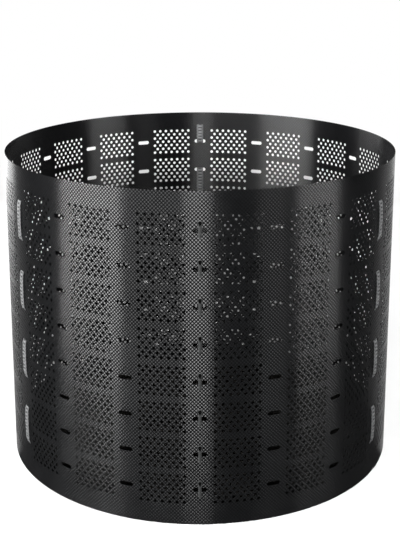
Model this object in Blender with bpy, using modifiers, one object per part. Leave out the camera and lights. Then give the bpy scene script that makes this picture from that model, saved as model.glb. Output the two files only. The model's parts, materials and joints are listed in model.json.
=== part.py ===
"""Compost bin: one slotted plastic sheet rolled into a ring, closed by turn keys.

Metres, +Z up. The bin stands on z = 0 with its axis on the Z axis. The lap where the two
ends of the sheet meet faces -Y. Angles round the ring start there and grow towards +X.
"""
import math

import bmesh
import bpy
from mathutils import Matrix

# Sheet
SHEET_HEIGHT = 0.9144
SHEET_THICKNESS = 0.0012
COLUMN_SPACING = 0.200
COLUMNS_ROUND = 18
END_MARGIN = 0.036
ROW_SPACING = 0.1016
LOWEST_ROW = 0.1016
SLOT_LENGTH = 0.038
SLOT_HEIGHT = 0.012
LAP_EASE_START = math.radians(10)
LAP_EASE_END = math.radians(40)

# Vents: one plain opening for each block of small round holes, with about their open area
VENT_WIDTH = 0.072
VENT_HEIGHT = 0.024

# Closure keys
HANDLE_WIDTH = 0.0095
HANDLE_THICKNESS = 0.004
HANDLE_DROP = 0.021
EYE_HEIGHT = 0.0205
EYE_RADIUS = 0.0072
EYE_HOLE_RADIUS = 0.0031
TOGGLE_THICKNESS = 0.004
TOGGLE_WIDTH = 0.007
KEY_SLOT_CLEARANCE = 0.002
SHANK_CLEARANCE = 0.0025

# Stays
STAY_WIDTH = 0.022
STAY_THICKNESS = 0.0012
STAY_BOW = 0.005
STAY_TAIL = 0.060

# Gap kept between pieces that touch
CLEARANCE = 0.0003

# How finely round shapes are cut
FACETS_PER_COLUMN = 4
SLOT_END_STEPS = 3
KEY_ARC_STEPS = 6
SHANK_SIDES = 12
STAY_BOW_STEPS = 6

# Sizes that follow from the ones above
RING_RADIUS = COLUMNS_ROUND * COLUMN_SPACING / (2 * math.pi)
COLUMN_ANGLE = 2 * math.pi / COLUMNS_ROUND
FACET_ANGLE = COLUMN_ANGLE / FACETS_PER_COLUMN
LAP_ANGLE = END_MARGIN / RING_RADIUS
LAYER_STEP = (SHEET_THICKNESS + CLEARANCE) / 2
LAP_HALF_DEPTH = LAYER_STEP + SHEET_THICKNESS / 2
ROWS = round((SHEET_HEIGHT - 2 * LOWEST_ROW) / ROW_SPACING) + 1
SHANK_RADIUS = SLOT_HEIGHT / 2 - SHANK_CLEARANCE
TOGGLE_LENGTH = SLOT_LENGTH - 2 * KEY_SLOT_CLEARANCE
WALL_CUT_HALF_DEPTH = 4 * LAP_HALF_DEPTH


def row_height(row):
    """Height of a slot row, counted from the lowest."""
    return LOWEST_ROW + row * ROW_SPACING


def front_to_column(column):
    """Turns what is built at the front of the ring round to a slot column."""
    return Matrix.Rotation(column * COLUMN_ANGLE, 4, "Z")


def ease(value):
    """Smooth step from 0 to 1."""
    value = min(max(value, 0.0), 1.0)
    return value * value * (3 - 2 * value)


def arc(centre_x, centre_y, radius, start, end, steps):
    """Points along an arc, both ends included."""
    angles = [start + (end - start) * i / steps for i in range(steps + 1)]
    return [(centre_x + radius * math.cos(a), centre_y + radius * math.sin(a)) for a in angles]


def new_collection(name):
    collection = bpy.data.collections.new(name)
    bpy.context.scene.collection.children.link(collection)
    return collection


def plastic(name, colour, roughness):
    material = bpy.data.materials.new(name)
    material.use_nodes = True
    material.diffuse_color = (*colour, 1)
    shader = material.node_tree.nodes["Principled BSDF"]
    shader.inputs["Base Color"].default_value = (*colour, 1)
    shader.inputs["Roughness"].default_value = roughness
    shader.inputs["Metallic"].default_value = 0.0
    return material


def as_mesh(obj):
    """Replaces a curve object, or one with modifiers, by a plain welded mesh object."""
    bpy.context.view_layer.update()
    graph = bpy.context.evaluated_depsgraph_get()
    mesh = bpy.data.meshes.new_from_object(obj.evaluated_get(graph))
    solid = bpy.data.objects.new(obj.name + "_solid", mesh)
    solid.matrix_world = obj.matrix_world
    for collection in obj.users_collection:
        collection.objects.link(solid)
    bpy.data.objects.remove(obj)
    bm = bmesh.new()
    bm.from_mesh(mesh)
    bmesh.ops.remove_doubles(bm, verts=bm.verts, dist=1e-6)
    bm.to_mesh(mesh)
    bm.free()
    return solid


def flat_plate(name, outlines, thickness, middle_y, collection):
    """A plate that faces the front: outlines in X and Z, thickness about middle_y."""
    curve = bpy.data.curves.new(name, "CURVE")
    curve.dimensions = "2D"
    curve.fill_mode = "BOTH"
    curve.extrude = thickness / 2
    for points in outlines:
        spline = curve.splines.new("POLY")
        spline.points.add(len(points) - 1)
        spline.use_cyclic_u = True
        for point, (x, y) in zip(spline.points, points):
            point.co = (x, y, 0, 1)
    plate = bpy.data.objects.new(name, curve)
    plate.location = (0, middle_y, 0)
    plate.rotation_euler = (math.pi / 2, 0, 0)
    collection.objects.link(plate)
    solid = as_mesh(plate)
    solid.data.transform(solid.matrix_world)
    solid.matrix_world = Matrix.Identity(4)
    return solid


def boolean(obj, other, operation):
    modifier = obj.modifiers.new(operation.lower(), "BOOLEAN")
    modifier.operation = operation
    modifier.solver = "EXACT"
    modifier.object = other


def mark_as_cutter(obj):
    obj.hide_render = True
    obj.display_type = "WIRE"


def slot_outline():
    """Slot with round ends."""
    radius = SLOT_HEIGHT / 2
    reach = SLOT_LENGTH / 2 - radius
    right = arc(reach, 0, radius, -math.pi / 2, math.pi / 2, SLOT_END_STEPS)
    left = arc(-reach, 0, radius, math.pi / 2, 3 * math.pi / 2, SLOT_END_STEPS)
    return right + left


def vent_outline():
    """Plain rectangle."""
    x, z = VENT_WIDTH / 2, VENT_HEIGHT / 2
    return [(-x, -z), (x, -z), (x, z), (-x, z)]


def make_wall_cutters(name, outline, first_column, cutters):
    """One prism through the wall in each row, once a column all round, all in one object."""
    prism = flat_plate("wall_prism", [outline], 2 * WALL_CUT_HALF_DEPTH, 0, cutters)
    bm = bmesh.new()
    for column in range(COLUMNS_ROUND):
        for row in range(ROWS):
            copy = prism.data.copy()
            move = Matrix.Translation((0, -RING_RADIUS, row_height(row)))
            copy.transform(front_to_column(first_column + column) @ move)
            bm.from_mesh(copy)
            bpy.data.meshes.remove(copy)
    mesh = bpy.data.meshes.new(name)
    bm.to_mesh(mesh)
    bm.free()
    bpy.data.objects.remove(prism)
    wall_cutters = bpy.data.objects.new(name, mesh)
    cutters.objects.link(wall_cutters)
    mark_as_cutter(wall_cutters)
    return wall_cutters


def layer_offset(angle):
    """How far the sheet lies outside the ring's radius: in at its first end, out at its last."""
    span = LAP_EASE_END - LAP_EASE_START
    inward = 1 - ease((angle - LAP_EASE_START) / span)
    outward = 1 - ease((2 * math.pi - angle - LAP_EASE_START) / span)
    return LAYER_STEP * (outward - inward)


def sheet_path():
    """Plan of the sheet's middle: flat facets that touch the ring, one centred on each slot."""
    start = -LAP_ANGLE
    end = 2 * math.pi + LAP_ANGLE
    first = math.ceil(start / FACET_ANGLE - 0.5)
    last = math.floor(end / FACET_ANGLE - 0.5)
    folds = [(k + 0.5) * FACET_ANGLE for k in range(first, last + 1)]
    path = []
    for angle in [start] + folds + [end]:
        to_facet_middle = angle - round(angle / FACET_ANGLE) * FACET_ANGLE
        radius = (RING_RADIUS + layer_offset(angle)) / math.cos(to_facet_middle)
        path.append((radius * math.sin(angle), -radius * math.cos(angle)))
    return path


def make_wall_sheet(parts, cutters, material):
    bm = bmesh.new()
    foot = [bm.verts.new((x, y, 0)) for x, y in sheet_path()]
    edges = [bm.edges.new(pair) for pair in zip(foot, foot[1:])]
    raised = bmesh.ops.extrude_edge_only(bm, edges=edges)["geom"]
    top = [item for item in raised if isinstance(item, bmesh.types.BMVert)]
    bmesh.ops.translate(bm, verts=top, vec=(0, 0, SHEET_HEIGHT))
    mesh = bpy.data.meshes.new("wall_sheet")
    bm.to_mesh(mesh)
    bm.free()
    mesh.shade_smooth()
    mesh.materials.append(material)
    wall = bpy.data.objects.new("wall_sheet", mesh)
    parts.objects.link(wall)
    wall_thickness = wall.modifiers.new("thickness", "SOLIDIFY")
    wall_thickness.thickness = SHEET_THICKNESS
    wall_thickness.offset = 0
    wall_thickness.use_even_offset = True
    boolean(wall, make_wall_cutters("slot_cutters", slot_outline(), 0, cutters), "DIFFERENCE")
    # The vents lie half way between the slot columns
    boolean(wall, make_wall_cutters("vent_cutters", vent_outline(), 0.5, cutters), "DIFFERENCE")
    return wall


def handle_outline():
    """Upright bar with a round foot and a wider eye at its top."""
    half = HANDLE_WIDTH / 2
    neck = math.asin(half / EYE_RADIUS)
    foot = arc(0, half - HANDLE_DROP, half, math.pi, 2 * math.pi, KEY_ARC_STEPS)
    eye_start = neck - math.pi / 2
    eye_end = 3 * math.pi / 2 - neck
    eye = arc(0, EYE_HEIGHT, EYE_RADIUS, eye_start, eye_end, 2 * KEY_ARC_STEPS)
    return foot + eye


def eye_hole_outline():
    full = arc(0, EYE_HEIGHT, EYE_HOLE_RADIUS, 0, 2 * math.pi, 2 * KEY_ARC_STEPS)
    return full[:-1]


def toggle_outline():
    """Bar with round ends that passes the slot when it lies level."""
    half = TOGGLE_WIDTH / 2
    reach = TOGGLE_LENGTH / 2 - half
    top = arc(0, reach, half, 0, math.pi, KEY_ARC_STEPS)
    foot = arc(0, -reach, half, math.pi, 2 * math.pi, KEY_ARC_STEPS)
    return top + foot


def make_key_mesh(cutters, material):
    """Handle, shank and toggle in one piece, upright, with the shank's axis on Y."""
    face = LAP_HALF_DEPTH + CLEARANCE
    handle_middle = -face - HANDLE_THICKNESS / 2
    toggle_middle = face + TOGGLE_THICKNESS / 2
    outlines = [handle_outline(), eye_hole_outline()]
    handle = flat_plate("key_handle", outlines, HANDLE_THICKNESS, handle_middle, cutters)
    toggle = flat_plate("key_toggle", [toggle_outline()], TOGGLE_THICKNESS, toggle_middle, cutters)
    bpy.ops.mesh.primitive_cylinder_add(
        vertices=SHANK_SIDES,
        radius=SHANK_RADIUS,
        depth=toggle_middle - handle_middle,
        location=(0, (toggle_middle + handle_middle) / 2, 0),
        rotation=(math.pi / 2, 0, 0),
    )
    shank = bpy.context.object
    boolean(handle, shank, "UNION")
    boolean(handle, toggle, "UNION")
    key = as_mesh(handle)
    mesh = key.data
    mesh.name = "closure_key"
    mesh.shade_smooth()
    mesh.set_sharp_from_angle(angle=math.radians(35))
    mesh.materials.clear()
    mesh.materials.append(material)
    for helper in (key, toggle, shank):
        bpy.data.objects.remove(helper)
    return mesh


def make_closure_keys(parts, cutters, material, parent):
    """One key in each slot of the lap, counted from the top."""
    mesh = make_key_mesh(cutters, material)
    for row in range(ROWS):
        key = bpy.data.objects.new(f"closure_key_{ROWS - row}", mesh)
        key.location = (0, -RING_RADIUS, row_height(row))
        key.parent = parent
        parts.objects.link(key)


def stay_path():
    """Side view of a stay's middle, as outward reach and height: in and out at every slot."""
    edge = SLOT_HEIGHT / 2
    slope_room = 1.1
    clear = SHEET_THICKNESS / 2 + slope_room * (STAY_THICKNESS / 2 + CLEARANCE)
    span = ROW_SPACING - 2 * edge
    path = [(-STAY_BOW, row_height(0) - STAY_TAIL), (-STAY_BOW, row_height(0) - STAY_TAIL / 2)]
    side = -1
    for row in range(ROWS):
        path.append((side * clear, row_height(row) - edge))
        side = -side
        path.append((side * clear, row_height(row) + edge))
        if row < ROWS - 1:
            for step in range(1, STAY_BOW_STEPS):
                part = step / STAY_BOW_STEPS
                reach = clear + (STAY_BOW - clear) * math.sin(math.pi * part)
                path.append((side * reach, row_height(row) + edge + part * span))
    top = row_height(ROWS - 1)
    path += [(side * STAY_BOW, top + STAY_TAIL / 2), (side * STAY_BOW, top + STAY_TAIL)]
    return path


def make_stay(name, column, parts, material, parent):
    bm = bmesh.new()
    left = [bm.verts.new((-STAY_WIDTH / 2, -RING_RADIUS - reach, z)) for reach, z in stay_path()]
    edges = [bm.edges.new(pair) for pair in zip(left, left[1:])]
    widened = bmesh.ops.extrude_edge_only(bm, edges=edges)["geom"]
    right = [item for item in widened if isinstance(item, bmesh.types.BMVert)]
    bmesh.ops.translate(bm, verts=right, vec=(STAY_WIDTH, 0, 0))
    mesh = bpy.data.meshes.new(name)
    bm.to_mesh(mesh)
    bm.free()
    mesh.shade_smooth()
    mesh.materials.append(material)
    stay = bpy.data.objects.new(name, mesh)
    stay.rotation_euler = (0, 0, column * COLUMN_ANGLE)
    stay.parent = parent
    parts.objects.link(stay)
    strip = stay.modifiers.new("thickness", "SOLIDIFY")
    strip.thickness = STAY_THICKNESS
    strip.offset = 0
    strip.use_even_offset = True


def main():
    for obj in list(bpy.data.objects):
        bpy.data.objects.remove(obj)
    parts = new_collection("compost_bin")
    cutters = new_collection("cutters")
    sheet_plastic = plastic("sheet_plastic", (0.030, 0.031, 0.030), 0.50)
    key_plastic = plastic("key_plastic", (0.040, 0.041, 0.040), 0.40)
    stay_plastic = plastic("stay_plastic", (0.055, 0.056, 0.056), 0.42)
    wall = make_wall_sheet(parts, cutters, sheet_plastic)
    make_closure_keys(parts, cutters, key_plastic, wall)
    stay_columns = {
        "stay_right": COLUMNS_ROUND // 6,
        "stay_back": COLUMNS_ROUND // 2,
        "stay_left": COLUMNS_ROUND - COLUMNS_ROUND // 6,
    }
    for name, column in stay_columns.items():
        make_stay(name, column, parts, stay_plastic, wall)


main()
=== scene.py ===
"""Dresses the roll-up compost bin: perforated sheet, turn keys, woven stays and a pale studio.

Metres, +Z up. The bin stands on z = 0 round the Z axis, and its lap with the keys faces -Y.
Angles round the ring start there and grow towards +X.
"""
import json
import math

import bmesh
import bpy
from mathutils import Matrix, Vector


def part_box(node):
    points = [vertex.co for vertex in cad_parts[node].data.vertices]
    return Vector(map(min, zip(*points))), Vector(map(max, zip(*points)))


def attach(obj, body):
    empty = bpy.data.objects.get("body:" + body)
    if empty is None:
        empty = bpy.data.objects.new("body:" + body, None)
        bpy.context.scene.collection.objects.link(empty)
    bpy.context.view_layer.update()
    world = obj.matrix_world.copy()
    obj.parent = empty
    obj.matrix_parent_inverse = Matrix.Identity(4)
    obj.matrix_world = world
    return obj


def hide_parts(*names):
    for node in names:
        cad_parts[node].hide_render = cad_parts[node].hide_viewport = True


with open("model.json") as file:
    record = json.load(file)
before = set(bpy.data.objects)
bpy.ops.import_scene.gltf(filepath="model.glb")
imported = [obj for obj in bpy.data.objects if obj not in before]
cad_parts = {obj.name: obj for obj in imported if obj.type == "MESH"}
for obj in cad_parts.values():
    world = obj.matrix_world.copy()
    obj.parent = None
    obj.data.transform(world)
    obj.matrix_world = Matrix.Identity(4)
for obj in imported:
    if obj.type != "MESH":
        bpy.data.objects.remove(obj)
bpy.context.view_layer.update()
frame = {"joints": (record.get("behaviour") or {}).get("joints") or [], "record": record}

bl_info = {
    "name": "Compost Bin",
    "version": (1, 0, 0),
    "blender": (4, 5, 0),
    "location": "3D View > Sidebar > Compost Bin",
    "description": "Makes the visible surfaces of a roll-up compost bin round its packed frame",
    "category": "Object",
}

# Sizes and places read from the frame
KEY_JOINTS = sorted(frame["joints"], key=lambda joint: joint["pos_m"][2])
BODIES = frame["record"]["behaviour"]["bodies"]
RING_RADIUS = -KEY_JOINTS[0]["pos_m"][1]
SHEET_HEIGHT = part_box("wall_sheet")[1].z
ROWS = len(KEY_JOINTS)
LOWEST_ROW = KEY_JOINTS[0]["pos_m"][2]
ROW_SPACING = (KEY_JOINTS[-1]["pos_m"][2] - LOWEST_ROW) / (ROWS - 1)
STAY_LOW, STAY_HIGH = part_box("stay_back")
STAY_WIDTH = STAY_HIGH.x - STAY_LOW.x
STAY_REACH = STAY_HIGH.y - RING_RADIUS
STAYS = ("stay_right", "stay_back", "stay_left")


def linear(hex_colour):
    """Linear red, green and blue of an sRGB colour written as six hex digits."""
    shares = [int(hex_colour[i:i + 2], 16) / 255 for i in (0, 2, 4)]
    return tuple(s / 12.92 if s <= 0.04045 else ((s + 0.055) / 1.055) ** 2.4 for s in shares)


def length_property(name, description, default):
    return bpy.props.FloatProperty(
        name=name, description=description, default=default, unit="LENGTH", precision=5
    )


def angle_property(name, description, degrees):
    return bpy.props.FloatProperty(
        name=name, description=description, default=math.radians(degrees), subtype="ANGLE"
    )


def colour_property(name, description, hex_colour):
    return bpy.props.FloatVectorProperty(
        name=name, description=description, default=linear(hex_colour), subtype="COLOR",
        size=3, min=0.0, max=1.0,
    )


class SheetSettings(bpy.types.PropertyGroup):
    """Sizes and colours of the rolled wall sheet."""
    thickness: length_property("Thickness", "Thickness of the sheet", 0.0012)
    layer_step: length_property("Layer Step", "How far a lapped layer leaves the ring", 0.00075)
    end_margin: length_property("End Margin", "Sheet past its last slot column", 0.036)
    columns_round: bpy.props.IntProperty(
        name="Columns Round", description="Slot columns in one turn of the sheet", default=18
    )
    slot_length: length_property("Slot Length", "Length of a slot along the sheet", 0.038)
    slot_height: length_property("Slot Height", "Height of a slot", 0.012)
    hole_diameter: length_property("Hole Diameter", "Ventilation hole", 0.0092)
    hole_spacing: length_property("Hole Spacing", "Hole centres along a row", 0.0197)
    hole_row_spacing: length_property("Hole Row Spacing", "Height between hole rows", 0.0125)
    holes_across: bpy.props.IntProperty(
        name="Holes Across", description="Holes in a long row of a block", default=7
    )
    hole_rows: bpy.props.IntProperty(
        name="Hole Rows", description="Rows in a block, every other one short", default=7
    )
    ease_start: angle_property("Lap Ease Start", "Where a layer starts to leave the lap", 10)
    ease_end: angle_property("Lap Ease End", "Where it is back on the ring", 40)
    colour: colour_property("Colour", "Black polyethylene", "060607")
    # Lighter tops of the emboss: rubbed wear, and painted light against the painted shade of the
    # grooves
    worn_and_lit_top_colour: colour_property("Worn Colour", "Polyethylene rubbed on the emboss", "262728")


class KeySettings(bpy.types.PropertyGroup):
    """Sizes and colours of a closure key."""
    lever_width: length_property("Lever Width", "Width of the handle", 0.0095)
    lever_drop: length_property("Lever Drop", "Handle below the shank", 0.021)
    eye_height: length_property("Eye Height", "Eye above the shank", 0.0205)
    eye_radius: length_property("Eye Radius", "Outer radius of the eye", 0.0072)
    eye_hole_radius: length_property("Eye Hole Radius", "Radius of the eye's recess", 0.0046)
    eye_step: length_property("Eye Step", "From the handle's crown back to the eye", 0.0006)
    eye_floor: length_property("Eye Floor", "Thickness left behind the recess", 0.0008)
    reach: length_property("Reach", "Outermost point of the key from the ring", 0.00565)
    face_gap: length_property("Face Gap", "From the ring to the back of the handle", 0.00165)
    shank_radius: length_property("Shank Radius", "Radius of the shank", 0.0035)
    toggle_width: length_property("Toggle Width", "Width of the bar inside", 0.007)
    toggle_length: length_property("Toggle Length", "Length of the bar inside", 0.034)
    edge_radius: length_property("Edge Radius", "Rounding of the moulded edges", 0.0007)
    colour: colour_property("Colour", "Black nylon", "3c3d3d")
    # Near black in the eye's recess is painted shade
    recess_shade_colour: colour_property("Recess Colour", "Dull nylon in the eye", "060606")


class StaySettings(bpy.types.PropertyGroup):
    """Sizes and colours of a woven stay."""
    thickness: length_property("Thickness", "Thickness of the strip", 0.0012)
    crown: length_property("Crown", "How far its middle stands over its edges", 0.0026)
    corner_radius: length_property("Corner Radius", "Radius of its end corners", 0.005)
    # Pale grey on the beads' tops is a painted highlight on black polyethylene
    colour: colour_property("Colour", "Grey polyethylene on the beads' tops", "9a9b9c")
    # Dark in the grooves is painted shade
    groove_shade_colour: colour_property("Groove Colour", "Polyethylene in the grooves", "1c1d1d")


class StageSettings(bpy.types.PropertyGroup):
    """Camera and floor."""
    camera_distance: length_property("Camera Distance", "From the ring's axis", 3.217)
    camera_height: length_property("Camera Height", "Over the floor", 1.564)
    camera_pitch: angle_property("Camera Pitch", "Downward tilt", 13.41)
    lens: bpy.props.FloatProperty(
        name="Lens", description="Focal length in mm on a 36 mm sensor", default=73.6
    )
    vertical_shift: bpy.props.FloatProperty(
        name="Vertical Shift", description="Lens shift, in shares of the long side", default=-0.16
    )
    floor_radius: length_property("Floor Radius", "Radius of the floor", 12.0)
    floor_colour: colour_property("Floor Colour", "Matt floor as it is seen", "a0a0a0")
    floor_bounce: colour_property("Floor Bounce", "Grey that it throws back on the bin", "222222")
    # The floor inside the ring is painted dark: painted shade
    painted_inner_shade: colour_property("Inner Floor", "Shaded ground inside the ring", "141312")


def add_node(tree, kind, inputs=None, **settings):
    """Adds a node with its settings and links.

    An input takes a value, a socket, a node, which stands for its first output, or a list of them.
    """
    node = tree.nodes.new(kind)
    for name, value in settings.items():
        setattr(node, name, value)
    for key, value in (inputs or {}).items():
        for source in value if isinstance(value, list) else [value]:
            if isinstance(source, bpy.types.Node):
                source = source.outputs[0]
            if isinstance(source, bpy.types.NodeSocket):
                tree.links.new(source, node.inputs[key])
            else:
                node.inputs[key].default_value = source
    return node


def new_material(name):
    material = bpy.data.materials.new(name)
    material.use_nodes = True
    material.node_tree.nodes.clear()
    return material, material.node_tree


def crossed_diagonals(tree, width, height, side_slope, lift_slope):
    """Emboss of crossed diagonals on the map "flat", which leaves rows of low pyramids.

    Gives their height, 0 in the grooves and 1 on the tops, and the normal of their flanks.
    """
    flat = add_node(tree, "ShaderNodeUVMap", uv_map="flat")
    place = add_node(tree, "ShaderNodeSeparateXYZ", {0: flat})
    column = add_node(tree, "ShaderNodeMath", {0: place, 1: width}, operation="DIVIDE")
    row = add_node(tree, "ShaderNodeMath", {0: place.outputs[1], 1: height}, operation="DIVIDE")
    waves = []
    flanks = []
    for operation in ("ADD", "SUBTRACT"):
        slant = add_node(tree, "ShaderNodeMath", {0: column, 1: row}, operation=operation)
        wave = add_node(tree, "ShaderNodeMath", {0: slant, 1: 0.5}, operation="PINGPONG")
        share = add_node(tree, "ShaderNodeMath", {0: slant}, operation="FRACT")
        flank = add_node(tree, "ShaderNodeMath", {0: share, 1: 0.5}, operation="GREATER_THAN")
        waves.append(wave)
        flanks.append(flank)
    rise = add_node(tree, "ShaderNodeMath", {0: waves[0], 1: waves[1]}, operation="ADD")
    falling = add_node(tree, "ShaderNodeMath", {0: flanks[0], 1: flanks[1]}, operation="ADD")
    side = add_node(tree, "ShaderNodeMath", {0: falling, 1: 1.0}, operation="SUBTRACT")
    lift = add_node(tree, "ShaderNodeMath", {0: flanks[0], 1: flanks[1]}, operation="SUBTRACT")
    # A normal map's colour holds a slope of -1 as 0, none as 0.5 and 1 as 1
    colours = []
    for facing, slope in ((side, side_slope), (lift, lift_slope)):
        colour = add_node(tree, "ShaderNodeMath",
                          {0: facing, 1: slope / 2, 2: 0.5}, operation="MULTIPLY_ADD")
        colours.append(colour)
    leaning = add_node(tree, "ShaderNodeCombineXYZ", {0: colours[0], 1: colours[1], 2: 1.0})
    normal = add_node(tree, "ShaderNodeNormalMap", {"Color": leaning}, uv_map="flat")
    return rise, normal


# Polyethylene has an IOR of 1.51 and nylon one of 1.53, so all materials keep the default of 1.5.

# Black polyethylene sheet, extruded and rolled with crossed diagonals, which leave low glossy
# pyramids. A flank that faces up shows a lamp and the next one doesn't, so the bright bands are
# full of fine diagonal sparkle and the dark ones look plain. The flanks at the sides are drawn
# level, which keeps the bands' edges straight. The sheet's draw lines run along it, so a lamp's
# light spreads up and down and little sideways. The tops are painted lighter than the grooves,
# by the emboss's height times a scuff noise: partly rubbed wear, partly painted shade in the
# grooves. The real emboss is 5.3 mm across and 4.0 mm up, too fine to show in the render, so it
# is drawn about twice as coarse.
SHEET_EMBOSS_WIDTH = 0.0096
SHEET_EMBOSS_HEIGHT = 0.0100
SHEET_SIDE_SLOPE = 0.0
SHEET_LIFT_SLOPE = 0.31
SHEET_SHEEN_DRAW = 0.8
SHEET_SHEEN_UPRIGHT = 0.25
SHEET_ROUGHNESS = (0.22, 0.26)
SCUFF_SIZE = 0.11
SCUFF_NOISE = (0.3, 0.7)


def embossed_polyethylene(sheet):
    material, tree = new_material("embossed_polyethylene")
    emboss, flanks = crossed_diagonals(tree, SHEET_EMBOSS_WIDTH, SHEET_EMBOSS_HEIGHT,
                                       SHEET_SIDE_SLOPE, SHEET_LIFT_SLOPE)
    flat = add_node(tree, "ShaderNodeUVMap", uv_map="flat")
    scuffs = add_node(tree, "ShaderNodeTexNoise",
                      {"Vector": flat, "Scale": 1 / SCUFF_SIZE, "Detail": 6.0, "Roughness": 0.6})
    # Tops lighter, grooves darker: partly scuffed wear, partly painted shade in the grooves
    wear_and_groove_shade = add_node(tree, "ShaderNodeMath", {0: emboss, 1: scuffs}, operation="MULTIPLY")
    tone = add_node(tree, "ShaderNodeMix",
                    {"Factor": wear_and_groove_shade, 6: (*sheet.colour, 1), 7: (*sheet.worn_and_lit_top_colour, 1)},
                    data_type="RGBA")
    gloss = add_node(tree, "ShaderNodeMapRange",
                     {"Value": scuffs, "From Min": SCUFF_NOISE[0], "From Max": SCUFF_NOISE[1],
                      "To Min": SHEET_ROUGHNESS[0], "To Max": SHEET_ROUGHNESS[1]})
    along = add_node(tree, "ShaderNodeTangent", direction_type="UV_MAP", uv_map="flat")
    shader = add_node(tree, "ShaderNodeBsdfPrincipled",
                      {"Base Color": tone.outputs[2], "Roughness": gloss,
                       "Normal": flanks, "Tangent": along, "Anisotropic": SHEET_SHEEN_DRAW,
                       "Anisotropic Rotation": SHEET_SHEEN_UPRIGHT})
    add_node(tree, "ShaderNodeOutputMaterial", {"Surface": shader})
    return material


# Black nylon, injection moulded: a fine spark-eroded grain and a satin sheen. The real grain is
# about 0.1 mm, too fine to show in the render, so it is drawn nine times as coarse.
KEY_GRAIN = 0.0009
GRAIN_DEPTH = 0.0002
GRAIN_BUMP = 0.25
KEY_ROUGHNESS = (0.24, 0.36)


def spark_eroded_grain(tree):
    """The grain's height, from 0 to 1, and the normal of its bumps."""
    place = add_node(tree, "ShaderNodeTexCoord")
    grain = add_node(tree, "ShaderNodeTexNoise",
                     {"Vector": place.outputs["Object"], "Scale": 1 / KEY_GRAIN, "Detail": 2.0})
    bump = add_node(tree, "ShaderNodeBump",
                    {"Height": grain, "Strength": GRAIN_BUMP, "Distance": GRAIN_DEPTH})
    return grain, bump


def moulded_nylon(key):
    material, tree = new_material("moulded_nylon")
    grain, bumps = spark_eroded_grain(tree)
    gloss = add_node(tree, "ShaderNodeMapRange",
                     {"Value": grain, "To Min": KEY_ROUGHNESS[0], "To Max": KEY_ROUGHNESS[1]})
    shader = add_node(tree, "ShaderNodeBsdfPrincipled",
                      {"Base Color": (*key.colour, 1), "Roughness": gloss, "Normal": bumps})
    add_node(tree, "ShaderNodeOutputMaterial", {"Surface": shader})
    return material


# Black nylon in the eye's recess, painted near black, dull and with little gloss: painted shade,
# so the recess looks like a dark dot.
RECESS_ROUGHNESS = 0.9
RECESS_GLOSS = 0.1


def painted_shade_nylon(key):
    material, tree = new_material("painted_shade_nylon")
    bumps = spark_eroded_grain(tree)[1]
    shader = add_node(tree, "ShaderNodeBsdfPrincipled",
                      {"Base Color": (*key.recess_shade_colour, 1), "Roughness": RECESS_ROUGHNESS,
                       "Specular IOR Level": RECESS_GLOSS, "Normal": bumps})
    add_node(tree, "ShaderNodeOutputMaterial", {"Surface": shader})
    return material


# Polyethylene strip, rolled with one row of wide beads. The beads' tops are painted pale grey and
# the groove over each is painted dark, a painted highlight and painted shade, so the strip looks
# like a ladder of short pale bars.
BEAD_WIDTH = 0.034
BEAD_HEIGHT = 0.0105
BEAD_SIDE_SLOPE = 0.10
BEAD_LIFT_SLOPE = 0.31
STRIP_ROUGHNESS = (0.22, 0.32)
STRIP_SCUFF_SIZE = 0.017


def beaded_polyethylene(stay):
    material, tree = new_material("beaded_polyethylene")
    beads, flanks = crossed_diagonals(tree, BEAD_WIDTH, BEAD_HEIGHT, BEAD_SIDE_SLOPE,
                                      BEAD_LIFT_SLOPE)
    # Painted highlight on the beads' tops and painted shade in their grooves
    tone = add_node(tree, "ShaderNodeMix",
                    {"Factor": beads, 6: (*stay.groove_shade_colour, 1), 7: (*stay.colour, 1)},
                    data_type="RGBA")
    flat = add_node(tree, "ShaderNodeUVMap", uv_map="flat")
    scuffs = add_node(tree, "ShaderNodeTexNoise",
                      {"Vector": flat, "Scale": 1 / STRIP_SCUFF_SIZE, "Detail": 4.0})
    gloss = add_node(tree, "ShaderNodeMapRange",
                     {"Value": scuffs, "To Min": STRIP_ROUGHNESS[0], "To Max": STRIP_ROUGHNESS[1]})
    shader = add_node(tree, "ShaderNodeBsdfPrincipled",
                      {"Base Color": tone.outputs[2], "Roughness": gloss, "Normal": flanks})
    add_node(tree, "ShaderNodeOutputMaterial", {"Surface": shader})
    return material


def multiples(tree, length, counts):
    """A length taken as many times as each of the counts says."""
    lengths = {}
    for count in counts:
        lengths[count] = add_node(tree, "ShaderNodeMath", {0: length, 1: count},
                                  operation="MULTIPLY")
    return lengths


def holed_patch(tree, width, height, parts, edge):
    """A flat patch with a hole. Each side of its outline is cut into that many parts."""
    outline = add_node(tree, "GeometryNodeCurvePrimitiveQuadrilateral",
                       {"Width": width, "Height": height})
    divided = add_node(tree, "GeometryNodeSubdivideCurve", {"Curve": outline, "Cuts": parts - 1})
    both = add_node(tree, "GeometryNodeJoinGeometry", {0: [divided, edge]})
    return add_node(tree, "GeometryNodeFillCurve", {0: both}, mode="TRIANGLES")


def repeated(tree, patch, across, up, width, height):
    """Copies of a patch on a grid of points, which spans that width and height."""
    points = add_node(tree, "GeometryNodeMeshGrid",
                      {"Size X": width, "Size Y": height, "Vertices X": across, "Vertices Y": up})
    return add_node(tree, "GeometryNodeInstanceOnPoints", {"Points": points, "Instance": patch})


def plain_pair(tree, width, height, across, up, gap):
    """Two plain patches of the sheet, one over the other, with their middles that far apart."""
    plain = add_node(tree, "GeometryNodeMeshGrid",
                     {"Size X": width, "Size Y": height,
                      "Vertices X": across + 1, "Vertices Y": up + 1})
    return repeated(tree, plain, 1, 2, 0.0, gap)


# Straight parts that the edges of the patches, holes and slots are cut into. Patches that meet
# have the same points there, which are then welded.
PARTS_PER_HOLE = 2
SLOT_FIELD_PARTS = 6
MARGIN_PARTS = 4
HOLE_SIDES = 12
SLOT_SIDES = 18
WELD_DISTANCE = 0.00005

# Height of the ring of sheet round a slot, in hole rows
SLOT_RING_ROWS = 3


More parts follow.
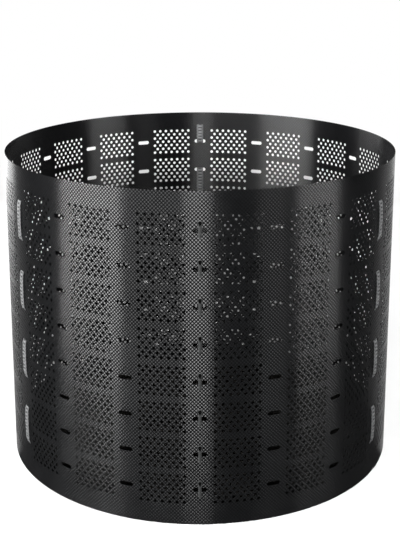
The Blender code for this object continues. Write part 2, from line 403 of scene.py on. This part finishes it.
def wall_sizes(sheet):
    """Sizes of the flat pattern, which are the wall tree's inputs."""
    column_spacing = 2 * math.pi * RING_RADIUS / sheet.columns_round
    hole_field = sheet.holes_across * sheet.hole_spacing
    slot_field = column_spacing - hole_field
    block = sheet.hole_rows * sheet.hole_row_spacing
    strip = (ROW_SPACING - block) / 2
    margin = LOWEST_ROW - ROW_SPACING / 2
    return {
        "Ring Radius": RING_RADIUS,
        "Layer Step": sheet.layer_step,
        "Ease Start": sheet.ease_start,
        "Ease End": sheet.ease_end,
        "Column Spacing": column_spacing,
        "Lowest Row": LOWEST_ROW,
        "Row Spacing": ROW_SPACING,
        "Sheet Height": SHEET_HEIGHT,
        "Slot Length": sheet.slot_length,
        "Slot Height": sheet.slot_height,
        "Slot Field Width": slot_field,
        "Hole Radius": sheet.hole_diameter / 2,
        "Hole Spacing": sheet.hole_spacing,
        "Hole Row Spacing": sheet.hole_row_spacing,
        "Hole Field Width": hole_field,
        "Block Height": block,
        "Strip Height": strip,
        "Strip Gap": block + strip,
        "Margin Height": margin,
        "Margin Gap": SHEET_HEIGHT - margin,
        "End Strip Width": sheet.end_margin - slot_field / 2,
        "End Strip Place": (sheet.end_margin + slot_field / 2) / 2,
    }


def row_cell(tree, size, width, parts, patches):
    """Patches one row tall, with the plain strips that part the hole blocks."""
    strips = plain_pair(tree, width, size["Strip Height"], parts, 1, size["Strip Gap"])
    return add_node(tree, "GeometryNodeJoinGeometry", {0: patches + [strips]})


def full_column(tree, size, width, parts, cell):
    """A column of the sheet from foot to top: a cell at each slot row and plain margins."""
    start = add_node(tree, "ShaderNodeCombineXYZ", {"Y": size["Lowest Row"]})
    step = add_node(tree, "ShaderNodeCombineXYZ", {"Y": size["Row Spacing"]})
    rows = add_node(tree, "GeometryNodeMeshLine",
                    {"Count": ROWS, "Start Location": start, "Offset": step})
    cells = add_node(tree, "GeometryNodeInstanceOnPoints", {"Points": rows, "Instance": cell})
    margins = plain_pair(tree, width, size["Margin Height"], parts, MARGIN_PARTS,
                         size["Margin Gap"])
    middle = add_node(tree, "ShaderNodeMath", {0: size["Sheet Height"], 1: 2.0},
                      operation="DIVIDE")
    raised = add_node(tree, "ShaderNodeCombineXYZ", {"Y": middle})
    placed = add_node(tree, "GeometryNodeTransform", {"Geometry": margins, "Translation": raised})
    return add_node(tree, "GeometryNodeJoinGeometry", {0: [cells, placed]})


def hole_column(tree, size, sheet):
    """Blocks of staggered holes: long rows, and short rows with half a cell at each end."""
    across = sheet.holes_across
    rows = sheet.hole_rows
    spans = multiples(tree, size["Hole Spacing"], (0.5, across - 2, across - 1, across - 0.5))
    heights = multiples(tree, size["Hole Row Spacing"], (rows - 3, rows - 1))
    edge = add_node(tree, "GeometryNodeCurvePrimitiveCircle",
                    {"Resolution": HOLE_SIDES, "Radius": size["Hole Radius"]}, mode="RADIUS")
    hole = holed_patch(tree, size["Hole Spacing"], size["Hole Row Spacing"], PARTS_PER_HOLE, edge)
    half_cell = add_node(tree, "GeometryNodeMeshGrid",
                         {"Size X": spans[0.5], "Size Y": size["Hole Row Spacing"],
                          "Vertices X": 2, "Vertices Y": PARTS_PER_HOLE + 1})
    short_rows = (rows - 1) // 2
    patches = [
        repeated(tree, hole, across, short_rows + 1, spans[across - 1], heights[rows - 1]),
        repeated(tree, hole, across - 1, short_rows, spans[across - 2], heights[rows - 3]),
        repeated(tree, half_cell, 2, short_rows, spans[across - 0.5], heights[rows - 3]),
    ]
    parts = across * PARTS_PER_HOLE
    cell = row_cell(tree, size, size["Hole Field Width"], parts, patches)
    return full_column(tree, size, size["Hole Field Width"], parts, cell)


def slot_column(tree, size, sheet):
    """Slots with round ends, each in a ring of the sheet as tall as three hole rows."""
    radius = add_node(tree, "ShaderNodeMath", {0: size["Slot Height"], 1: 2.0}, operation="DIVIDE")
    circle = add_node(tree, "GeometryNodeCurvePrimitiveCircle",
                      {"Resolution": SLOT_SIDES, "Radius": radius}, mode="RADIUS")
    position = add_node(tree, "GeometryNodeInputPosition")
    place = add_node(tree, "ShaderNodeSeparateXYZ", {0: position})
    side = add_node(tree, "ShaderNodeMath", {0: place}, operation="SIGN")
    straight = add_node(tree, "ShaderNodeMath", {0: size["Slot Length"], 1: size["Slot Height"]},
                        operation="SUBTRACT")
    half = add_node(tree, "ShaderNodeMath", {0: straight, 1: 0.5}, operation="MULTIPLY")
    shift = add_node(tree, "ShaderNodeMath", {0: side, 1: half}, operation="MULTIPLY")
    move = add_node(tree, "ShaderNodeCombineXYZ", {"X": shift})
    edge = add_node(tree, "GeometryNodeSetPosition", {"Geometry": circle, "Offset": move})
    outer_rows = (sheet.hole_rows - SLOT_RING_ROWS) / 2
    heights = multiples(tree, size["Hole Row Spacing"],
                        (SLOT_RING_ROWS, outer_rows, SLOT_RING_ROWS + outer_rows))
    width = size["Slot Field Width"]
    ring = holed_patch(tree, width, heights[SLOT_RING_ROWS], SLOT_FIELD_PARTS, edge)
    around = plain_pair(tree, width, heights[outer_rows], SLOT_FIELD_PARTS,
                        int(outer_rows * PARTS_PER_HOLE), heights[SLOT_RING_ROWS + outer_rows])
    cell = row_cell(tree, size, width, SLOT_FIELD_PARTS, [ring, around])
    return full_column(tree, size, width, SLOT_FIELD_PARTS, cell)


def end_strip(tree, size, sheet):
    """The narrow plain strip outside the slots of an end column."""
    width = size["End Strip Width"]
    plain = add_node(tree, "GeometryNodeMeshGrid",
                     {"Size X": width, "Size Y": size["Block Height"],
                      "Vertices X": 2, "Vertices Y": sheet.hole_rows * PARTS_PER_HOLE + 1})
    cell = row_cell(tree, size, width, 1, [plain])
    return full_column(tree, size, width, 1, cell)


def moved_along(tree, geometry, distance):
    """Geometry moved along the sheet."""
    move = add_node(tree, "ShaderNodeCombineXYZ", {"X": distance})
    return add_node(tree, "GeometryNodeTransform", {"Geometry": geometry, "Translation": move})


def bent_round(tree, size, geometry):
    """The flat sheet rolled round the ring: inside at its first end and outside at its last."""
    position = add_node(tree, "GeometryNodeInputPosition")
    flat = add_node(tree, "ShaderNodeSeparateXYZ", {0: position})
    angle = add_node(tree, "ShaderNodeMath", {0: flat, 1: size["Ring Radius"]}, operation="DIVIDE")
    angle_left = add_node(tree, "ShaderNodeMath", {0: 2 * math.pi, 1: angle}, operation="SUBTRACT")
    layers = []
    for from_end, full in ((angle, -1.0), (angle_left, 1.0)):
        layer = add_node(tree, "ShaderNodeMapRange",
                         {"Value": from_end, "From Min": size["Ease Start"],
                          "From Max": size["Ease End"], "To Min": full, "To Max": 0.0},
                         interpolation_type="SMOOTHSTEP")
        layers.append(layer)
    both = add_node(tree, "ShaderNodeMath", {0: layers[0], 1: layers[1]}, operation="ADD")
    radius = add_node(tree, "ShaderNodeMath",
                      {0: both, 1: size["Layer Step"], 2: size["Ring Radius"]},
                      operation="MULTIPLY_ADD")
    sine = add_node(tree, "ShaderNodeMath", {0: angle}, operation="SINE")
    cosine = add_node(tree, "ShaderNodeMath", {0: angle}, operation="COSINE")
    across = add_node(tree, "ShaderNodeMath", {0: radius, 1: sine}, operation="MULTIPLY")
    back = add_node(tree, "ShaderNodeMath", {0: radius, 1: cosine}, operation="MULTIPLY")
    front = add_node(tree, "ShaderNodeMath", {0: back, 1: -1.0}, operation="MULTIPLY")
    place = add_node(tree, "ShaderNodeCombineXYZ", {"X": across, "Y": front, "Z": flat.outputs[1]})
    return add_node(tree, "GeometryNodeSetPosition", {"Geometry": geometry, "Position": place})


def wall_tree(sheet):
    """Geometry Nodes tree for a length of the wall: some slot columns and the holes after each."""
    tree = bpy.data.node_groups.new("compost_bin_wall", "GeometryNodeTree")
    tree.is_modifier = True
    for name in wall_sizes(sheet):
        tree.interface.new_socket(name=name, in_out="INPUT", socket_type="NodeSocketFloat")
    for name in ("First Column", "Columns"):
        tree.interface.new_socket(name=name, in_out="INPUT", socket_type="NodeSocketInt")
    for name in ("First End", "Last End"):
        tree.interface.new_socket(name=name, in_out="INPUT", socket_type="NodeSocketBool")
    tree.interface.new_socket(name="Material", in_out="INPUT", socket_type="NodeSocketMaterial")
    tree.interface.new_socket(name="Wall", in_out="OUTPUT", socket_type="NodeSocketGeometry")
    size = add_node(tree, "NodeGroupInput").outputs
    slots = slot_column(tree, size, sheet)
    holes = hole_column(tree, size, sheet)
    strip = end_strip(tree, size, sheet)
    half_spacing = add_node(tree, "ShaderNodeMath", {0: size["Column Spacing"], 1: 0.5},
                            operation="MULTIPLY")
    unit = add_node(tree, "GeometryNodeJoinGeometry",
                    {0: [slots, moved_along(tree, holes, half_spacing)]})
    first_place = add_node(tree, "ShaderNodeMath",
                           {0: size["First Column"], 1: size["Column Spacing"]},
                           operation="MULTIPLY")
    start = add_node(tree, "ShaderNodeCombineXYZ", {"X": first_place})
    step = add_node(tree, "ShaderNodeCombineXYZ", {"X": size["Column Spacing"]})
    columns = add_node(tree, "GeometryNodeMeshLine",
                       {"Count": size["Columns"], "Start Location": start, "Offset": step})
    units = add_node(tree, "GeometryNodeInstanceOnPoints", {"Points": columns, "Instance": unit})
    before = add_node(tree, "ShaderNodeMath", {0: size["End Strip Place"], 1: -1.0},
                      operation="MULTIPLY")
    last_place = add_node(tree, "ShaderNodeMath",
                          {0: size["Column Spacing"], 1: float(sheet.columns_round)},
                          operation="MULTIPLY")
    after = add_node(tree, "ShaderNodeMath", {0: last_place, 1: size["End Strip Place"]},
                     operation="ADD")
    closing = add_node(tree, "GeometryNodeJoinGeometry",
                       {0: [moved_along(tree, slots, last_place),
                            moved_along(tree, strip, after)]})
    first_end = add_node(tree, "GeometryNodeSwitch",
                         {"Switch": size["First End"], "True": moved_along(tree, strip, before)})
    last_end = add_node(tree, "GeometryNodeSwitch", {"Switch": size["Last End"], "True": closing})
    length = add_node(tree, "GeometryNodeJoinGeometry", {0: [units, first_end, last_end]})
    real = add_node(tree, "GeometryNodeRealizeInstances", {"Geometry": length})
    welded = add_node(tree, "GeometryNodeMergeByDistance",
                      {"Geometry": real, "Distance": WELD_DISTANCE})
    position = add_node(tree, "GeometryNodeInputPosition")
    mapped = add_node(tree, "GeometryNodeStoreNamedAttribute",
                      {"Geometry": welded, "Name": "flat", "Value": position},
                      data_type="FLOAT2", domain="CORNER")
    rolled = bent_round(tree, size, mapped)
    finish = add_node(tree, "GeometryNodeSetMaterial",
                      {"Geometry": rolled, "Material": size["Material"]})
    add_node(tree, "NodeGroupOutput", {"Wall": finish})
    return tree


def new_object(name, mesh):
    obj = bpy.data.objects.new(name, mesh)
    bpy.context.scene.collection.objects.link(obj)
    return obj


SHARP_ANGLE = math.radians(35)


def settle(obj):
    """Turns what the object's modifiers make into its plain mesh, smooth but for sharp edges."""
    bpy.context.view_layer.update()
    graph = bpy.context.evaluated_depsgraph_get()
    mesh = bpy.data.meshes.new_from_object(obj.evaluated_get(graph))
    mesh.name = obj.name
    obj.modifiers.clear()
    obj.data = mesh
    mesh.shade_smooth()
    mesh.set_sharp_from_angle(angle=SHARP_ANGLE)


def give_thickness(obj, thickness):
    walls = obj.modifiers.new("thickness", "SOLIDIFY")
    walls.thickness = thickness
    walls.offset = 0
    walls.use_even_offset = True


class COMPOST_BIN_OT_wall(bpy.types.Operator):
    """Makes the perforated wall sheet in three lengths, which meet edge to edge"""
    bl_idname = "compost_bin.wall"
    bl_label = "Wall Sheet"

    def execute(self, context):
        sheet = context.scene.compost_bin_sheet
        material = embossed_polyethylene(sheet)
        tree = wall_tree(sheet)
        names = ("wall_sheet_right", "wall_sheet_back", "wall_sheet_left")
        columns = sheet.columns_round // len(names)
        for number, name in enumerate(names):
            wall = new_object(name, bpy.data.meshes.new(name))
            pattern = wall.modifiers.new("pattern", "NODES")
            pattern.node_group = tree
            values = {
                **wall_sizes(sheet),
                "First Column": number * columns,
                "Columns": columns,
                "First End": number == 0,
                "Last End": number == len(names) - 1,
                "Material": material,
            }
            for item in tree.interface.items_tree:
                if item.in_out == "INPUT":
                    pattern[item.identifier] = values[item.name]
            give_thickness(wall, sheet.thickness)
            settle(wall)
            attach(wall, "bin")
            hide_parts("wall_sheet")
        return {"FINISHED"}


def arc(centre_x, centre_z, radius, start, end, steps):
    """Points along an arc, both ends included."""
    angles = [start + (end - start) * i / steps for i in range(steps + 1)]
    return [(centre_x + radius * math.cos(a), centre_z + radius * math.sin(a)) for a in angles]


# Straight parts that a key's round outlines are drawn with
CIRCLE_STEPS = 32
DROP_STEPS = 16
DROP_TIP_STEPS = 4
BAR_END_STEPS = 8

# In radii of the recess: how far below its middle its tip lies, and the tip's own radius
DROP_LENGTH = 1.75
DROP_TIP = 0.25


def drop_outline(key):
    """The eye's recess: round above, drawn to a soft point below."""
    radius = key.eye_hole_radius
    tip = key.eye_height - DROP_LENGTH * radius
    lean = math.asin((1 - DROP_TIP) / DROP_LENGTH)
    top = arc(0, key.eye_height, radius, -lean, math.pi + lean, DROP_STEPS)
    point = arc(0, tip, DROP_TIP * radius, math.pi + lean, 2 * math.pi - lean, DROP_TIP_STEPS)
    return top + point


def bar_outline(low, high, half):
    """Upright bar with round ends."""
    foot = arc(0, low + half, half, math.pi, 2 * math.pi, BAR_END_STEPS)
    top = arc(0, high - half, half, 0, math.pi, BAR_END_STEPS)
    return foot + top


# Points closer than TOUCHING are merged, and so are faces that meet at less than LEVEL_ANGLE
TOUCHING = 0.000001
LEVEL_ANGLE = math.radians(1)


def plate(name, outline, back, front):
    """A plate that faces the front, from its back to its front depth outside the ring."""
    curve = bpy.data.curves.new(name, "CURVE")
    curve.dimensions = "2D"
    curve.fill_mode = "BOTH"
    curve.extrude = (front - back) / 2
    spline = curve.splines.new("POLY")
    spline.points.add(len(outline) - 1)
    spline.use_cyclic_u = True
    for point, (x, z) in zip(spline.points, outline):
        point.co = (x, z, 0, 1)
    helper = bpy.data.objects.new(name, curve)
    graph = bpy.context.evaluated_depsgraph_get()
    mesh = bpy.data.meshes.new_from_object(helper.evaluated_get(graph))
    bpy.data.objects.remove(helper)
    # No material reads a curve's map, and after a Boolean its last digits vary from run to run
    for layer in list(mesh.uv_layers):
        mesh.uv_layers.remove(layer)
    middle = Matrix.Translation((0, -(front + back) / 2, 0))
    mesh.transform(middle @ Matrix.Rotation(math.pi / 2, 4, "X"))
    bm = bmesh.new()
    bm.from_mesh(mesh)
    bmesh.ops.remove_doubles(bm, verts=bm.verts, dist=TOUCHING)
    bmesh.ops.dissolve_limit(bm, angle_limit=LEVEL_ANGLE, verts=bm.verts, edges=bm.edges)
    bm.to_mesh(mesh)
    bm.free()
    mesh.materials.clear()
    return new_object(name, mesh)


def combine(obj, other, operation):
    cut = obj.modifiers.new(operation.lower(), "BOOLEAN")
    cut.operation = operation
    cut.solver = "EXACT"
    cut.material_mode = "TRANSFER"
    cut.object = other


ROUNDING_STEPS = 2
ROUNDED_ANGLE = math.radians(40)


def round_edges(obj, radius):
    rounding = obj.modifiers.new("rounding", "BEVEL")
    rounding.width = radius
    rounding.segments = ROUNDING_STEPS
    rounding.limit_method = "ANGLE"
    rounding.angle_limit = ROUNDED_ANGLE
    rounding.use_clamp_overlap = True


def rod(name, radius, length, matrix):
    """A round rod along Z, moved and turned by the matrix."""
    bm = bmesh.new()
    bmesh.ops.create_cone(bm, cap_ends=True, segments=CIRCLE_STEPS, radius1=radius,
                          radius2=radius, depth=length, matrix=matrix)
    mesh = bpy.data.meshes.new(name)
    bm.to_mesh(mesh)
    bm.free()
    return new_object(name, mesh)


# How many times as far as the key a helper that shapes it reaches
OVERSHOOT = 2


def make_key_mesh(key):
    """Handle, shank and toggle in one moulding, upright, with the shank's axis on Y."""
    half = key.lever_width / 2
    handle = plate("handle", bar_outline(-key.lever_drop, key.eye_height, half),
                   key.face_gap, key.reach)
    back_to_front = Matrix.Rotation(math.pi / 2, 4, "X")
    crown = rod("crown", half, 2 * OVERSHOOT * key.eye_height,
                Matrix.Translation((0, half - key.reach, 0)))
    eye_outline = arc(0, key.eye_height, key.eye_radius, 0, 2 * math.pi, CIRCLE_STEPS)[1:]
    eye = plate("eye", eye_outline, key.face_gap, key.reach - key.eye_step)
    recess = plate("recess", drop_outline(key), key.face_gap + key.eye_floor,
                   OVERSHOOT * key.reach)
    toggle_end = key.toggle_length / 2
    toggle = plate("toggle", bar_outline(-toggle_end, toggle_end, key.toggle_width / 2),
                   -key.reach, -key.face_gap)
    shank = rod("shank", key.shank_radius, key.reach + key.face_gap, back_to_front)
    nylon = moulded_nylon(key)
    for part in (handle, crown, eye, toggle, shank):
        part.data.materials.append(nylon)
    # The eye's recess gets the painted shade
    recess.data.materials.append(painted_shade_nylon(key))
    combine(handle, crown, "INTERSECT")
    settle(handle)
    for part in (eye, toggle):
        round_edges(part, key.edge_radius)
        settle(part)
    for part in (eye, shank, toggle):
        combine(handle, part, "UNION")
    combine(handle, recess, "DIFFERENCE")
    settle(handle)
    mesh = handle.data
    mesh.name = "closure_key"
    for helper in (crown, eye, recess, toggle, shank, handle):
        bpy.data.objects.remove(helper)
    return mesh


class COMPOST_BIN_OT_keys(bpy.types.Operator):
    """Makes the closure key in every slot of the lap"""
    bl_idname = "compost_bin.keys"
    bl_label = "Closure Keys"

    def execute(self, context):
        key = context.scene.compost_bin_key
        pattern = make_key_mesh(key)
        for joint in KEY_JOINTS:
            node = BODIES[joint["child"]][0]
            mesh = pattern.copy()
            mesh.transform(Matrix.Translation(joint["pos_m"]))
            piece = new_object(node.replace("closure", "moulded"), mesh)
            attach(piece, joint["child"])
            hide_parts(node)
        return {"FINISHED"}


# A stay's mesh: the length of its faces, and how many lie side by side
STAY_STEP = 0.002
STAY_PARTS_ACROSS = 10

# From the sheet's middle to the stay's beside a slot, in sums of their thicknesses: at 0.5 they
# would touch
STAY_SEAT = 0.65


def weave(height, sheet, stay):
    """How far outside the ring a stay's middle lies at a height, and its bow from -1 to 1."""
    clear = STAY_SEAT * (sheet.thickness + stay.thickness)
    bow = STAY_REACH - stay.thickness / 2
    edge = sheet.slot_height / 2 / ROW_SPACING
    place = (height - LOWEST_ROW) / ROW_SPACING
    row = min(max(round(place), 0), ROWS - 1)
    side_above = 1 if row % 2 == 0 else -1
    from_row = place - row
    if abs(from_row) <= edge:
        return side_above * clear * from_row / edge, 0.0
    side = math.copysign(side_above, side_above * from_row)
    share = min((abs(from_row) - edge) / (1 - 2 * edge), 0.5)
    bowed = side * math.sin(math.pi * share)
    return side * clear + (bow - clear) * bowed, bowed


def stay_mesh(name, angle, sheet, stay):
    """The strip's middle surface, woven through the slots of a column."""
    steps = round((STAY_HIGH.z - STAY_LOW.z) / STAY_STEP)
    turn = Matrix.Rotation(angle, 3, "Z")
    bm = bmesh.new()
    flat = bm.loops.layers.uv.new("flat")
    places = {}
    rows = []
    for step in range(steps + 1):
        height = STAY_LOW.z + (STAY_HIGH.z - STAY_LOW.z) * step / steps
        middle, bowed = weave(height, sheet, stay)
        to_end = min(height - STAY_LOW.z, STAY_HIGH.z - height)
        inset = max(stay.corner_radius - to_end, 0)
        half = STAY_WIDTH / 2 - stay.corner_radius
        half += math.sqrt(stay.corner_radius ** 2 - inset ** 2)
        row = []
        for part in range(STAY_PARTS_ACROSS + 1):
            side = 2 * part / STAY_PARTS_ACROSS - 1
            reach = middle - stay.crown * bowed * side ** 2
            vertex = bm.verts.new(turn @ Vector((half * side, -RING_RADIUS - reach, height)))
            places[vertex] = (half * side, height)
            row.append(vertex)
        rows.append(row)
    for low, high in zip(rows, rows[1:]):
        for i in range(STAY_PARTS_ACROSS):
            face = bm.faces.new((low[i], low[i + 1], high[i + 1], high[i]))
            for loop in face.loops:
                loop[flat].uv = places[loop.vert]
    mesh = bpy.data.meshes.new(name)
    bm.to_mesh(mesh)
    bm.free()
    return mesh


class COMPOST_BIN_OT_stays(bpy.types.Operator):
    """Makes the strips woven through three slot columns"""
    bl_idname = "compost_bin.stays"
    bl_label = "Woven Stays"

    def execute(self, context):
        sheet = context.scene.compost_bin_sheet
        stay = context.scene.compost_bin_stay
        material = beaded_polyethylene(stay)
        column_angle = 2 * math.pi / sheet.columns_round
        for node in STAYS:
            low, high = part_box(node)
            middle = (low + high) / 2
            column = round(math.atan2(middle.x, -middle.y) / column_angle)
            name = node.replace("stay", "woven_stay")
            strip = new_object(name, stay_mesh(name, column * column_angle, sheet, stay))
            strip.data.materials.append(material)
            give_thickness(strip, stay.thickness)
            settle(strip)
            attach(strip, "bin")
            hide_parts(node)
        return {"FINISHED"}


# Each lamp: the azimuth, height and distance of its middle, its width and height, and its watts.
# Azimuth is counted as the ring's angles are, from the front towards +X.
LAMPS = {
    "key_lamp": (-61, 1.85, 4.5, 3.1, 2.1, 352),
    "left_fill_lamp": (-26, 1.85, 4.5, 2.2, 2.1, 50),
    "front_lamp": (-2, 1.85, 4.5, 1.15, 2.1, 88),
    "right_fill_lamp": (38, 1.85, 4.5, 1.2, 2.1, 16),
    "right_lamp": (66, 1.85, 4.5, 2.1, 2.1, 110),
    "left_rim_lamp": (-140, 1.0, 3.0, 1.6, 1.8, 22),
    "right_rim_lamp": (150, 1.0, 3.0, 1.2, 1.8, 2),
}
SKY_STRENGTH = 0.05

# The floor's own lamp stands in front, over the camera, and lights nothing else, so that none of
# its light is on the bin, whose soft shadow falls behind it. Its light grows with distance as
# its slant on the floor does, so that the floor is evenly lit.
FLOOR_LAMP_DISTANCE = 6.0
FLOOR_LAMP_HEIGHT = 2.4
FLOOR_LAMP_SIZE = 0.9
FLOOR_LAMP_WATTS = 60


def new_lamp(name, place, size, watts):
    lamp = bpy.data.lights.new(name, "AREA")
    lamp.shape = "RECTANGLE"
    lamp.size, lamp.size_y = size
    lamp.energy = watts
    holder = new_object(name, lamp)
    holder.location = place
    holder.visible_camera = False
    return holder


def make_lamps():
    for name, (azimuth, height, distance, width, tall, watts) in LAMPS.items():
        angle = math.radians(azimuth)
        place = (distance * math.sin(angle), -distance * math.cos(angle), height)
        holder = new_lamp(name, place, (width, tall), watts)
        holder.rotation_euler = (math.pi / 2, 0, angle)


def make_floor_lamp(floor):
    holder = new_lamp("floor_lamp", (0, -FLOOR_LAMP_DISTANCE, FLOOR_LAMP_HEIGHT),
                      (FLOOR_LAMP_SIZE, FLOOR_LAMP_SIZE), FLOOR_LAMP_WATTS)
    holder.rotation_euler = (math.atan2(FLOOR_LAMP_DISTANCE, FLOOR_LAMP_HEIGHT), 0, 0)
    lit = bpy.data.collections.new("lit_by_floor_lamp")
    lit.objects.link(floor)
    holder.light_linking.receiver_collection = lit
    holder.data.use_nodes = True
    tree = holder.data.node_tree
    tree.nodes.clear()
    level = add_node(tree, "ShaderNodeLightFalloff", {"Strength": 1 / FLOOR_LAMP_DISTANCE})
    path = add_node(tree, "ShaderNodeLightPath")
    growing = add_node(tree, "ShaderNodeMath",
                       {0: level.outputs["Constant"], 1: path.outputs["Ray Length"]},
                       operation="MULTIPLY")
    glow = add_node(tree, "ShaderNodeEmission", {"Strength": growing})
    add_node(tree, "ShaderNodeOutputLight", {"Surface": glow})


def make_world():
    """White where it is seen directly or through something, and a dim even sky for the rest."""
    world = bpy.data.worlds.new("studio")
    bpy.context.scene.world = world
    world.use_nodes = True
    tree = world.node_tree
    tree.nodes.clear()
    path = add_node(tree, "ShaderNodeLightPath")
    seen = add_node(tree, "ShaderNodeMath",
                    {0: path.outputs["Is Camera Ray"], 1: path.outputs["Is Transmission Ray"]},
                    operation="MAXIMUM")
    strength = add_node(tree, "ShaderNodeMapRange",
                        {"Value": seen, "To Min": SKY_STRENGTH, "To Max": 1.0})
    sky = add_node(tree, "ShaderNodeBackground", {"Color": (1, 1, 1, 1), "Strength": strength})
    add_node(tree, "ShaderNodeOutputWorld", {"Surface": sky})


# Matt studio floor, pale in its own lamp's light as far as LIT_FLOOR_TO from the ring's axis and
# white from WHITE_FLOOR_FROM on. For glossy rays alone it also glows white, a painted reflection
# in the bin's gloss: pale behind the bin, where it runs into the white background, and dark beside
# it and in front. That change goes by direction from the bin's left or right side, so that the
# whole
# height of the wall shows it alike: it lies between MIRRORED_FLOOR_FROM and MIRRORED_FLOOR_TO,
# where 0 is straight out and 1 is straight behind.
FLOOR_SIDES = 64
LIT_FLOOR_TO = 2.7
WHITE_FLOOR_FROM = 4.5
BIN_SIDE = (0.52, -0.2, 0)
MIRRORED_FLOOR = 0.47
MIRRORED_FLOOR_FROM = 0.5
MIRRORED_FLOOR_TO = 0.95


def studio_floor(stage):
    material, tree = new_material("matt_studio_floor")
    place = add_node(tree, "ShaderNodeTexCoord")
    distance = add_node(tree, "ShaderNodeVectorMath", {0: place.outputs["Object"]},
                        operation="LENGTH")
    glow = add_node(tree, "ShaderNodeMapRange",
                    {"Value": distance.outputs["Value"], "From Min": LIT_FLOOR_TO,
                     "From Max": WHITE_FLOOR_FROM}, interpolation_type="SMOOTHSTEP")
    outside = add_node(tree, "ShaderNodeMath", {0: distance.outputs["Value"], 1: RING_RADIUS},
                       operation="GREATER_THAN")
    path = add_node(tree, "ShaderNodeLightPath")
    seen = add_node(tree, "ShaderNodeMath",
                    {0: path.outputs["Is Camera Ray"], 1: path.outputs["Is Transmission Ray"]},
                    operation="MAXIMUM")
    direct = add_node(tree, "ShaderNodeMath", {0: glow, 1: seen}, operation="MULTIPLY")
    spot = add_node(tree, "ShaderNodeSeparateXYZ", {0: place.outputs["Object"]})
    from_axis = add_node(tree, "ShaderNodeMath", {0: spot}, operation="ABSOLUTE")
    either_side = add_node(tree, "ShaderNodeCombineXYZ", {0: from_axis, 1: spot.outputs[1]})
    from_bin = add_node(tree, "ShaderNodeVectorMath", {0: either_side, 1: BIN_SIDE},
                        operation="SUBTRACT")
    direction = add_node(tree, "ShaderNodeVectorMath", {0: from_bin}, operation="NORMALIZE")
    turned = add_node(tree, "ShaderNodeSeparateXYZ", {0: direction})
    behind = add_node(tree, "ShaderNodeMapRange",
                      {"Value": turned.outputs[1], "From Min": MIRRORED_FLOOR_FROM,
                       "From Max": MIRRORED_FLOOR_TO, "To Min": 0.0, "To Max": MIRRORED_FLOOR},
                      interpolation_type="SMOOTHSTEP")
    # Painted reflection: a glow that only glossy rays see, strongest behind the bin
    painted_reflection = add_node(tree, "ShaderNodeMath",
                        {0: behind, 1: path.outputs["Is Glossy Ray"]}, operation="MULTIPLY")
    own = add_node(tree, "ShaderNodeMath", {0: direct, 1: painted_reflection}, operation="ADD")
    share = add_node(tree, "ShaderNodeMath", {0: own, 1: outside}, operation="MULTIPLY")
    around = add_node(tree, "ShaderNodeMix",
                      {"Factor": seen, 6: (*stage.floor_bounce, 1), 7: (*stage.floor_colour, 1)},
                      data_type="RGBA")
    # Inside the ring the floor takes the painted shade
    colour = add_node(tree, "ShaderNodeMix",
                      {"Factor": outside, 6: (*stage.painted_inner_shade, 1), 7: around.outputs[2]},
                      data_type="RGBA")
    lit = add_node(tree, "ShaderNodeBsdfDiffuse", {"Color": colour.outputs[2]})
    white = add_node(tree, "ShaderNodeEmission", {"Color": (1, 1, 1, 1), "Strength": 1.0})
    both = add_node(tree, "ShaderNodeMixShader", {0: share, 1: lit, 2: white})
    add_node(tree, "ShaderNodeOutputMaterial", {"Surface": both})
    return material


SENSOR_WIDTH = 36


class COMPOST_BIN_OT_stage(bpy.types.Operator):
    """Makes the floor, the world, the lamps and the camera"""
    bl_idname = "compost_bin.stage"
    bl_label = "Studio"

    def execute(self, context):
        stage = context.scene.compost_bin_stage
        bm = bmesh.new()
        bmesh.ops.create_circle(bm, cap_ends=True, segments=FLOOR_SIDES,
                                radius=stage.floor_radius)
        mesh = bpy.data.meshes.new("studio_floor")
        bm.to_mesh(mesh)
        bm.free()
        mesh.materials.append(studio_floor(stage))
        floor = new_object("studio_floor", mesh)
        make_world()
        make_lamps()
        make_floor_lamp(floor)
        view = bpy.data.cameras.new("photo_camera")
        view.lens = stage.lens
        view.sensor_width = SENSOR_WIDTH
        view.shift_y = stage.vertical_shift
        camera = new_object("photo_camera", view)
        camera.location = (0, -stage.camera_distance, stage.camera_height)
        camera.rotation_euler = (math.pi / 2 - stage.camera_pitch, 0, 0)
        context.scene.camera = camera
        context.scene.view_settings.view_transform = "Standard"
        return {"FINISHED"}


OPERATORS = (COMPOST_BIN_OT_wall, COMPOST_BIN_OT_keys, COMPOST_BIN_OT_stays,
             COMPOST_BIN_OT_stage)


class COMPOST_BIN_PT_sidebar(bpy.types.Panel):
    """Lists the steps that dress the compost bin"""
    bl_idname = "COMPOST_BIN_PT_sidebar"
    bl_label = "Compost Bin"
    bl_space_type = "VIEW_3D"
    bl_region_type = "UI"
    bl_category = "Compost Bin"

    def draw(self, context):
        for operator in OPERATORS:
            self.layout.operator(operator.bl_idname)


SETTINGS = {
    "compost_bin_sheet": SheetSettings,
    "compost_bin_key": KeySettings,
    "compost_bin_stay": StaySettings,
    "compost_bin_stage": StageSettings,
}


def register():
    for name, group in SETTINGS.items():
        bpy.utils.register_class(group)
        setattr(bpy.types.Scene, name, bpy.props.PointerProperty(type=group))
    for kind in (*OPERATORS, COMPOST_BIN_PT_sidebar):
        bpy.utils.register_class(kind)


def unregister():
    for kind in (COMPOST_BIN_PT_sidebar, *reversed(OPERATORS)):
        bpy.utils.unregister_class(kind)
    for name, group in reversed(SETTINGS.items()):
        delattr(bpy.types.Scene, name)
        bpy.utils.unregister_class(group)


def main():
    register()
    bpy.ops.compost_bin.wall()
    bpy.ops.compost_bin.keys()
    bpy.ops.compost_bin.stays()
    bpy.ops.compost_bin.stage()


if __name__ == "__main__":
    main()
